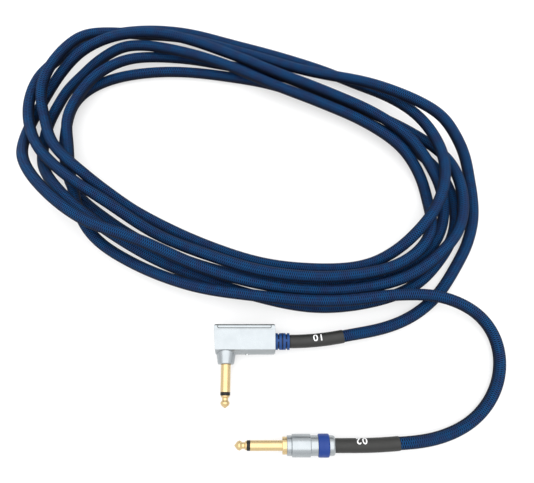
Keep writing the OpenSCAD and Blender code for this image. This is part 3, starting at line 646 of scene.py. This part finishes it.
def make_boot():
    """Moulded rubber with painted shade: it goes darker nearer the cord's axis, down in its
    grooves.
    """
    material, n, shader = new_material("boot_blue", BOOT_RIB, 0.45, Specular_IOR_Level=0.3)
    _, y, z = n.xyz()
    aside = n.math("SUBTRACT", y, BOOT_AXIS_Y)
    above = n.math("SUBTRACT", z, BOOT_AXIS_Z)
    radius = n.math("SQRT", n.math("ADD", n.math("MULTIPLY", aside, aside),
                                   n.math("MULTIPLY", above, above)))
    g = grain(n, FINE_GRAIN, BROAD_GRAIN)
    # Painted shade: the rubber darkens towards the bottom of its grooves.
    colour = blended(n, radius, BOOT_GROOVE_SHADE, toned(n, g, BOOT_RIB, BOOT_SECOND),
                     BOOT_FULL_SHADE_R, BOOT_NO_SHADE_R)
    wire_finish(n, shader, g, colour, (0.40, 0.55), GRAIN_DEPTH)
    return material


MATERIALS = {
    "satin_nickel": make_plain("satin_nickel", NICKEL, NICKEL_SECOND, NICKEL_ROUGH, 1.0,
                               fine=SATIN_GRAIN, depth=SATIN_DEPTH),
    "gold_contact": make_plain("pale_gold", (0.62, 0.47, 0.255), (0.60, 0.445, 0.225), 0.26, 1.0,
                               fine=6000.0, depth=0.000002),
    "contact_brass": make_plain("tinned_brass", (0.86, 0.82, 0.72), (0.78, 0.72, 0.60), 0.35, 1.0),
    "copper_strand": make_plain("bare_copper", (0.72, 0.36, 0.20), (0.55, 0.26, 0.14), 0.35, 1.0),
    "black_insulator": make_plain("black_plastic", (0.003, 0.003, 0.002),
                                  (0.006, 0.006, 0.005), 0.4, Specular_IOR_Level=0.3),
    "clear_insulator": make_plain("natural_plastic", (0.80, 0.78, 0.70), (0.74, 0.71, 0.62), 0.3),
    "brown_insulator": make_plain("laminate", (0.16, 0.07, 0.03), (0.11, 0.05, 0.02), 0.6),
    "core_insulation": make_plain("white_insulation", (0.80, 0.80, 0.78), (0.72, 0.72, 0.70), 0.4),
    "grey_plastic": make_plain("grey_plastic", (0.03, 0.03, 0.034), (0.05, 0.05, 0.055), 0.5),
    "blue_plastic": make_plain("ring_blue", (0.005, 0.034, 0.195), (0.004, 0.030, 0.180), 0.40,
                               Specular_IOR_Level=0.3),
    "blue_rubber": make_boot(),
    "shrink_tube": make_plain("shrink_grey", (0.008, 0.008, 0.007), (0.014, 0.014, 0.0125), 0.55,
                              fine=1800.0, broad=300.0, depth=0.00004),
    "cord_jacket": jacket,
}
slot_of = {part["node"]: part["material_slot"] for part in frame["record"]["subparts"]}
for node_name, thing in frame["nodes"].items():
    finish = MATERIALS[slot_of[node_name]]
    thing.data.materials.clear()
    thing.data.materials.append(finish)
# The rivet is polished, so it is brighter than the satin metal round it.
rivet_finish = make_plain("rivet_bright", (0.66, 0.67, 0.66), (0.60, 0.61, 0.60), 0.25, 1.0)
frame["nodes"]["ground_rivet"].data.materials[0] = rivet_finish
print("finished CAD nodes:", len(slot_of))

# %% [markdown]
# ## Turned pieces
#
# A lathe makes most of a phone plug: the pin, its tip, the shells and the rings are turned from
# bar. They could be cylinders with bevels, but a turned outline says more with less: each piece
# is a short list of (station, radius) points along the plug's axis. Its corners are eased, as a
# deburred edge is, and the outline is carried round the axis.

# %% Ease an outline and turn it
EASE_MM = 0.2
EASE_POINTS = 5
EASE_SHARE = 0.45
TURN_COLUMNS = 96


def eased(outline, ease):
    """Each corner is cut back along both its sides and bridged by a parabola:
    (1-u)^2 a + 2 u (1-u) corner + u^2 b. A cut takes less than half of a side."""
    corner = np.asarray(outline, float)
    u = np.linspace(0, 1, EASE_POINTS)[None, :, None]
    ends = []
    for neighbour in (np.roll(corner, 1, 0), np.roll(corner, -1, 0)):
        side = neighbour - corner
        length = np.linalg.norm(side, axis=1, keepdims=True)
        ends.append(corner + side / length * np.minimum(ease, EASE_SHARE * length))
    curve = (1 - u)**2 * ends[0][:, None] + 2 * u * (1 - u) * corner[:, None] \
        + u**2 * ends[1][:, None]
    return curve.reshape(-1, 2)


def dress(thing, body, slot, *nodes):
    """Give a piece its body and its finish, and hide the CAD nodes that it stands for."""
    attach(thing, body)
    thing.data.materials.append(MATERIALS[slot])
    if nodes:
        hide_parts(*nodes)
    return thing


def turned_piece(name, outline, plug, ease=EASE_MM, solid=False):
    """Point = origin + station * along + radius * (cos a * aside + sin a * up). The outline is a
    closed loop round a bore; a solid piece's outline starts and ends on the axis."""
    origin, forward = plug
    profile = eased(outline, ease)
    if solid:
        inner = profile[EASE_POINTS:-EASE_POINTS]
        profile = np.vstack([outline[0], inner, outline[-1]])
    up = np.array([0.0, 0.0, 1.0])
    aside = np.cross(up, forward)
    a = 2 * np.pi * np.arange(TURN_COLUMNS)[:, None] / TURN_COLUMNS
    ring = np.cos(a) * aside + np.sin(a) * up
    points = origin + profile[:, None, :1] * forward + profile[:, None, 1:] * ring
    return closed_mesh(name, points * MM, wrap_rows=not solid)


STRAIGHT = (np.array([-15.0, -34.1, 7.1]), np.array([1.0, 0.0, 0.0]))
ANGLE = (np.array([-51.5, 22.1, 7.0]), np.array([0.0, 1.0, 0.0]))
print("lathe ready")

# %% [markdown]
# ## The two pins
#
# Both ends carry the same standard pin: a tube that is the sleeve contact, a black ring that
# insulates it, and a tip with the waist that a socket's spring clicks into. One function makes
# ring and tip for both plugs, because they are bought as one part. Only the sleeves differ: one
# ends in a collar and a boss for the shell, the other in a shank inside the angle housing.

# %% Pins
PIN_R = 3.175
PIN_BORE_R = 1.85
ROD_BORE_R = 1.2
RING_LEN = 2.0
STRAIGHT_FRONT, ANGLE_FRONT = -20.1, -24.0
RING_EASE_MM, TIP_EASE_MM, ANGLE_EASE_MM = 0.08, 0.3, 0.12
TIP_SHAPE = [(0, 0), (0, 2.85), (0.8, 2.85), (1.6, 1.95), (3.0, 1.95), (4.3, 2.9), (4.75, 3.0),
             (5.25, 2.9), (6.25, 2.4), (7.6, 0.6), (7.9, 0.3), (7.9, 0)]


def pin_front(prefix, plug, front):
    """Insulating ring and tip in front of a sleeve that starts at a station."""
    ring_at = front - RING_LEN
    ring = turned_piece(prefix + "_ring_black", [
        (ring_at, ROD_BORE_R), (ring_at, PIN_R), (front, PIN_R), (front, ROD_BORE_R)],
        plug, RING_EASE_MM)
    dress(ring, "cable", "black_insulator", prefix + "_insulating_ring")
    tip = turned_piece(prefix + "_tip_gold", [(ring_at - s, r) for s, r in TIP_SHAPE], plug,
                       TIP_EASE_MM, solid=True)
    dress(tip, "cable", "gold_contact", prefix + "_tip")


pin_front("straight", STRAIGHT, STRAIGHT_FRONT)
pin_front("angle", ANGLE, ANGLE_FRONT)
straight_pin = turned_piece("straight_pin_gold", [
    (STRAIGHT_FRONT, PIN_BORE_R), (STRAIGHT_FRONT, PIN_R), (0, PIN_R), (0, 5.3), (2.9, 5.3),
    (2.9, 4.7), (7.4, 4.7), (7.4, PIN_BORE_R)], STRAIGHT)
dress(straight_pin, "cable", "gold_contact", "straight_sleeve")
angle_pin = turned_piece("angle_pin_gold", [
    (ANGLE_FRONT, PIN_BORE_R), (ANGLE_FRONT, PIN_R), (-6.4, PIN_R), (-6.4, 2.875), (-6.0, 2.875),
    (-6.0, 3.425), (1.5, 3.425), (1.5, 4.3), (2.7, 4.3), (2.7, PIN_BORE_R)],
    ANGLE, ANGLE_EASE_MM)
dress(angle_pin, "cable", "gold_contact", "angle_sleeve")
print("pins:", straight_pin.name, angle_pin.name)

# %% [markdown]
# ## Shell, coloured ring and rear nut
#
# The straight plug's shell screws over the pin's boss. Behind it come a coloured ring, which
# tells one end of a cable from the other, and the nut that clamps the cord. They move apart when
# the nut is undone, so each rides on its own body.

# %% Straight plug's shell, ring and nut
shell = turned_piece("shell_satin", [
    (2.9, 4.8), (2.9, 6.1), (5.55, 6.1), (5.7, 5.95), (5.85, 6.1), (6.0, 6.95), (17.5, 6.95),
    (17.65, 6.35), (17.8, 6.2), (22.3, 6.2), (22.3, 5.45), (18.1, 5.45), (17.8, 5.85), (8.0, 5.85),
    (8.0, 4.8)], STRAIGHT)
dress(shell, "cable", "satin_nickel", "straight_shell")
ring = turned_piece("colour_ring_blue", [
    (22.3, 5.45), (22.3, 6.7), (22.9, 7.1), (28.6, 7.1), (29.2, 6.7), (29.2, 5.45)], STRAIGHT, 0.25)
dress(ring, "ring_body", "blue_plastic", "colour_ring")
nut = turned_piece("rear_nut_satin", [
    (18.0, 4.7), (18.0, 5.35), (29.2, 5.35), (29.2, 6.15), (31.5, 6.15), (32.5, 5.75), (32.9, 5.0),
    (32.9, 4.7)], STRAIGHT, 0.3)
dress(nut, "nut_body", "satin_nickel", "rear_nut")
print("straight plug dressed")

# %% [markdown]
# ## Housing and cover of the angle plug
#
# These two are die castings: flat walls with edges that are a little round because liquid metal
# never fills a sharp corner. Their walls, bevels and bores are already right in the engineering
# model. So a copy of each mesh is cleaned into flat faces and given a small bevel, which is all
# that a casting adds. The bevel hardens its normals, so flat faces stay flat in the light. The
# cover's top has a narrow groove round a flat island, and shade is painted into it: the cover's
# finish goes darker there.

# %% Cast pieces from copies of the CAD meshes
CAST_EDGE_MM, COVER_EDGE_MM = 0.3, 0.12
CAST_MERGE_M = 1e-6
FLAT_ANGLE_DEG, EDGE_ANGLE_DEG = 1, 25
BEVEL_SEGMENTS = 3
COVER_T_MM, ISLAND_SHARE, GROOVE_RIM_MM = 3.5, 0.74, 0.15
# Painted shade: the dark grey inside the groove round the cover's island.
GROOVE_SHADE_GREY = (0.12, 0.13, 0.13)


def cast_copy(name, node, edge_mm):
    """Merge the node's loose triangles, join coplanar ones, and bevel every clear edge."""
    work = bmesh.new()
    work.from_mesh(frame["nodes"][node].data)
    bmesh.ops.remove_doubles(work, verts=work.verts, dist=CAST_MERGE_M)
    bmesh.ops.dissolve_limit(work, angle_limit=np.radians(FLAT_ANGLE_DEG), verts=work.verts,
                             edges=work.edges)
    bmesh.ops.recalc_face_normals(work, faces=work.faces)
    mesh = bpy.data.meshes.new(name)
    work.to_mesh(mesh)
    work.free()
    mesh.shade_smooth()
    thing = placed(name, mesh)
    bevel = thing.modifiers.new("cast_edge", "BEVEL")
    bevel.width = edge_mm * MM
    bevel.segments = BEVEL_SEGMENTS
    bevel.limit_method = "ANGLE"
    bevel.angle_limit = np.radians(EDGE_ANGLE_DEG)
    bevel.harden_normals = True
    return thing


def make_cover_finish():
    """Satin nickel with painted shade, darker below the rim inside the island's groove, where light
    doesn't reach: |y - middle| < half the island's width, and z under the top face."""
    material, n, shader = new_material("satin_cover", NICKEL, NICKEL_ROUGH, 1.0)
    _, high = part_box("angle_cover")
    _, y, z = n.xyz()
    aside = n.math("ABSOLUTE", n.math("SUBTRACT", y, high[1] - COVER_T_MM / 2 * MM))
    within = n.math("LESS_THAN", aside, ISLAND_SHARE / 2 * COVER_T_MM * MM)
    deep = n.math("LESS_THAN", z, high[2] - GROOVE_RIM_MM * MM)
    g = grain(n, SATIN_GRAIN, BROAD_GRAIN)
    # Painted shade: the groove round the cover's island is painted dark grey.
    colour = blended(n, n.math("MULTIPLY", within, deep), toned(n, g, NICKEL, NICKEL_SECOND),
                     GROOVE_SHADE_GREY)
    wire_finish(n, shader, g, colour, (0.24, 0.34), SATIN_DEPTH)
    return material


housing = dress(cast_copy("housing_cast", "angle_housing", CAST_EDGE_MM),
                "cable", "satin_nickel", "angle_housing")
cover = dress(cast_copy("cover_cast", "angle_cover", COVER_EDGE_MM),
              "cover_body", "satin_nickel", "angle_cover")
cover.data.materials.clear()
cover.data.materials.append(make_cover_finish())
print("castings:", len(housing.data.polygons), len(cover.data.polygons), "faces before the bevel")

# %% [markdown]
# ## The ribbed strain relief
#
# Where the cord leaves the housing, a short rubber boot spreads the bend. Grooves make it soft,
# and small bridges across them, a quarter turn apart, keep it from bending in one line only.
# Its outside is a height over a grid of (station, angle): low in a groove, high on a rib or on a
# bridge, with soft steps between, as moulded rubber has.

# %% Strain relief as a height over station and angle
BOOT_FROM, BOOT_LEN = 32.4, 9.4
RIB_PITCH, RIB_LEN = 2.575, 1.675
RIB_R, GROOVE_R, BOOT_NECK_R, BOOT_BORE_R = 5.52, 4.82, 4.62, 4.02
BRIDGE_HALF = 0.19
RIB_EDGE_MM, BRIDGE_EDGE = 0.16, 0.01
BOOT_ROWS = 190
BOOT_INSIDE = np.array([(29.4, BOOT_BORE_R), (29.4, 5.32), (30.9, 5.32), (30.9, BOOT_NECK_R),
                        (32.4, BOOT_NECK_R)])
CORD_AXIS = (np.array([-51.5, 30.5, 7.0]), np.array([1.0, 0.0, 0.0]))


def soft_step(x, width):
    """0 below, 1 above, and a smooth s-curve over the width between."""
    t = np.clip(x / width + 0.5, 0, 1)
    return t * t * (3 - 2 * t)


def boot_radius(s, a):
    """Radius = groove + (rib - groove) * max(rib mask, bridge mask)."""
    rib = np.floor(s / RIB_PITCH)
    within = s - rib * RIB_PITCH
    mask = 1 - soft_step(within - RIB_LEN, RIB_EDGE_MM) + soft_step(within - RIB_PITCH, RIB_EDGE_MM)
    first = soft_step(within, RIB_EDGE_MM) * (s > RIB_PITCH / 2) + (s <= RIB_PITCH / 2)
    turn = np.where(rib % 2 == 0, np.sin(a), np.cos(a))
    bridge = soft_step(np.abs(turn) - np.cos(BRIDGE_HALF), BRIDGE_EDGE)
    height = np.clip(np.maximum(np.minimum(mask, first), bridge), 0, 1)
    return GROOVE_R + (RIB_R - GROOVE_R) * height


def boot_grid():
    """Flange and neck inside the wall, the ribbed length, and the bore back to the start."""
    s = np.linspace(0, BOOT_LEN, BOOT_ROWS)
    a = 2 * np.pi * np.arange(TURN_COLUMNS) / TURN_COLUMNS
    ribbed = boot_radius(s[:, None], a[None, :])
    ribbed[0] = ribbed[-1] = GROOVE_R
    station = np.concatenate([BOOT_INSIDE[:, 0], BOOT_FROM + s, [BOOT_FROM + BOOT_LEN]])
    radius = np.vstack([np.repeat(BOOT_INSIDE[:, 1:], TURN_COLUMNS, axis=1), ribbed,
                        np.full((1, TURN_COLUMNS), BOOT_BORE_R)])
    origin, forward = CORD_AXIS
    ring = np.stack([0 * a, np.cos(a), np.sin(a)], -1)
    return origin + station[:, None, None] * forward + radius[:, :, None] * ring


boot = dress(closed_mesh("ribbed_relief", boot_grid() * MM, wrap_rows=True),
             "cable", "blue_rubber", "angle_boot")
print("boot faces:", len(boot.data.polygons))

# %% [markdown]
# ## Heat-shrink sleeves
#
# A sleeve of heat-shrink tubing covers each joint of plug and cord. It shrinks a little
# unevenly over the braid, so its wall gets long shallow ripples. It is a tube inside a tube:
# the outer skin runs out along the path and the inner one runs back.

# %% Sleeves
SLEEVE_R, SLEEVE_BORE_R = 4.45, 4.02
RIPPLE_MM = 0.035
SLEEVE_COLUMNS = 64
SLEEVE_STEP = 0.4
NUT_END = [3.4, -34.1, 7.1]
NUT_TO_BEND_POINTS, ANGLE_RUN_POINTS = 40, 90
END_ROUND = np.array([[0.14], [0.05], [0.0]])


def sleeve_grid(line):
    """Outer radius less a ripple of two crossing waves, rounded at both ends, then the bore."""
    run = run_along(line)[:, None]
    a = 2 * np.pi * np.arange(SLEEVE_COLUMNS)[None, :] / SLEEVE_COLUMNS
    ripple = (2 + np.sin(2 * a + 0.45 * run) + np.sin(3 * a - 0.8 * run + 1)) / 4
    outer = SLEEVE_R - RIPPLE_MM * ripple
    outer[:len(END_ROUND)] -= END_ROUND
    outer[-len(END_ROUND):] -= END_ROUND[::-1]
    return np.vstack([tube_grid(line, outer, SLEEVE_COLUMNS),
                      tube_grid(line, SLEEVE_BORE_R, SLEEVE_COLUMNS)[::-1]])


inside_nut = np.linspace(NUT_END, STRAIGHT_SLEEVE_FROM, NUT_TO_BEND_POINTS)[:-1]
straight_run = even_line(np.vstack([inside_nut, straight_sleeve]), SLEEVE_STEP)
angle_run = arc_line(ANGLE_SLEEVE_FROM, ANGLE_SLEEVE_LEN, ANGLE_SLEEVE_BEND_DEG,
                     ANGLE_RUN_POINTS)
for sleeve_name, run, node in (("shrink_straight", straight_run, "straight_shrink_sleeve"),
                               ("shrink_angle", angle_run, "angle_shrink_sleeve")):
    sleeve = closed_mesh(sleeve_name, sleeve_grid(run) * MM, wrap_rows=True)
    dress(sleeve, "cable", "shrink_tube", node)
    print(sleeve_name, len(sleeve.data.polygons), "faces")

# %% [markdown]
# ## Printed numbers
#
# Each sleeve carries a plain white print, so that the two ends can be told apart in the dark:
# 01 at the angle plug and 02 at the straight one. The digits start as flat text. The flat mesh
# is cut into narrow strips, because a long triangle can't bend, and then wrapped round the
# sleeve a hair above its surface.

# %% Wrap flat digits round a sleeve
DIGIT_HEIGHT_MM = 4.8
DIGIT_WEIGHT, DIGIT_SPACING = 0.012, 1.15
STRIP_MM = 0.35
INK_LIFT_MM = 0.03


def vertex_points(mesh):
    """A mesh's vertices as an array with a row for each."""
    points = np.zeros(len(mesh.vertices) * 3)
    mesh.vertices.foreach_get("co", points)
    return points.reshape(-1, 3)


def flat_digits(text):
    """The text as a mesh in millimetres, centred on its own origin and cut into strips."""
    curve = bpy.data.curves.new("digits", "FONT")
    curve.body = text
    curve.align_x = "CENTER"
    curve.align_y = "CENTER"
    curve.offset = DIGIT_WEIGHT
    curve.space_character = DIGIT_SPACING
    flat = placed("digits", curve)
    mesh = bpy.data.meshes.new_from_object(flat)
    bpy.data.objects.remove(flat)
    points = vertex_points(mesh)
    middle = (points.min(0) + points.max(0)) / 2
    size = DIGIT_HEIGHT_MM / np.ptp(points[:, 1])
    mesh.vertices.foreach_set("co", ((points - middle) * size).ravel())
    work = bmesh.new()
    work.from_mesh(mesh)
    for axis, reach in (((0, 1, 0), 2.4), ((1, 0, 0), 4.4)):
        for at in np.arange(-reach, reach, STRIP_MM):
            bmesh.ops.bisect_plane(work, geom=work.verts[:] + work.edges[:] + work.faces[:],
                                   plane_co=np.array(axis) * at, plane_no=axis)
    work.to_mesh(mesh)
    work.free()
    return mesh


def print_on(name, text, line, at_mm, lean_deg, way):
    """Along the sleeve: at + way * x. Round it: lean + way * y / radius, from the top."""
    mesh = flat_digits(text)
    p = vertex_points(mesh)
    gone = run_along(line)
    ahead = unit(np.gradient(line, axis=0))
    run = at_mm + way * p[:, 0]
    centre = np.column_stack([np.interp(run, gone, line[:, k]) for k in range(3)])
    forward = np.column_stack([np.interp(run, gone, ahead[:, k]) for k in range(3)])
    up = np.array([0.0, 0.0, 1.0])
    left = unit(np.cross(up, forward))
    a = (np.radians(lean_deg) + way * p[:, 1] / SLEEVE_R)[:, None]
    wrapped = centre + (SLEEVE_R + INK_LIFT_MM) * (np.sin(a) * left + np.cos(a) * up)
    mesh.vertices.foreach_set("co", (wrapped * MM).ravel())
    mesh.name = name
    thing = placed(name, mesh)
    ink = thing.modifiers.new("ink", "SOLIDIFY")
    ink.thickness = 2 * INK_LIFT_MM * MM
    ink.offset = -1
    return thing


INK = make_plain("white_ink", (0.85, 0.85, 0.85), (0.72, 0.72, 0.72), 0.5)
for ink_name, digits, run, at, lean, way in (
        ("print_01", "01", angle_run, 18.5, 16, 1), ("print_02", "02", straight_run, 31.0, 42, -1)):
    piece = print_on(ink_name, digits, run, at, lean, way)
    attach(piece, "cable")
    piece.data.materials.append(INK)
    print(ink_name, len(piece.data.polygons), "faces")

# %% [markdown]
# ## The room
#
# The object lies on a light table in a bright room. The table is a pale floor that glows a
# little, which keeps shadows faint. Satin metal shows whatever is around it: the room is white
# at the horizon and a little brighter overhead, so the plugs read as pale metal. One large soft
# light overhead adds the shadows that remain.

# %% Floor and lights
FLOOR_WHITE = (0.36, 0.36, 0.36)
FLOOR_GLOW = 0.56
HORIZON = (1.00, 1.01, 1.02)
ZENITH = (1.22, 1.23, 1.24)
SOFTBOX_M = 2.2
SOFTBOX_HEIGHT_M = 1.2
SOFTBOX_WATTS = 18.5
FLOOR_HALF_M = 3.0
ZENITH_FROM_Z = 0.5


def make_floor():
    """A wide plain sheet under the object: a light table, whose glow keeps the shadows faint."""
    half = FLOOR_HALF_M
    mesh = bpy.data.meshes.new("floor")
    mesh.from_pydata([(-half, -half, 0), (half, -half, 0), (half, half, 0), (-half, half, 0)],
                     [], [(0, 1, 2, 3)])
    floor = placed("floor", mesh)
    material, _, shader = new_material("floor_white", FLOOR_WHITE, 0.9,
                                       Emission_Strength=FLOOR_GLOW)
    shader.inputs["Emission Color"].default_value = (1, 1, 1, 1)
    floor.data.materials.append(material)


def area_light(name, place_m, size_m, watts, aim_m):
    """A square soft light that faces a point."""
    data = bpy.data.lights.new(name, "AREA")
    data.size = size_m
    data.energy = watts
    lamp = placed(name, data)
    lamp.location = place_m
    direction = np.array(aim_m) - np.array(place_m)
    lamp.rotation_euler = (np.arctan2(np.hypot(*direction[:2]), -direction[2]), 0,
                           np.arctan2(direction[1], direction[0]) - np.pi / 2)


def light_room():
    """World light: white at the horizon, brighter overhead."""
    world = bpy.data.worlds.new("room")
    bpy.context.scene.world = world
    world.use_nodes = True
    n = Nodes(world.node_tree)
    back = world.node_tree.nodes["Background"]
    _, _, upward = n.xyz("Generated")
    n.put(back.inputs["Color"], blended(n, upward, HORIZON, ZENITH, 0.0, ZENITH_FROM_Z))
    back.inputs["Strength"].default_value = 1.0


make_floor()
light_room()
aim = AIM_MM * MM
area_light("softbox", (*aim[:2], SOFTBOX_HEIGHT_M), SOFTBOX_M, SOFTBOX_WATTS, aim)
print("room ready")
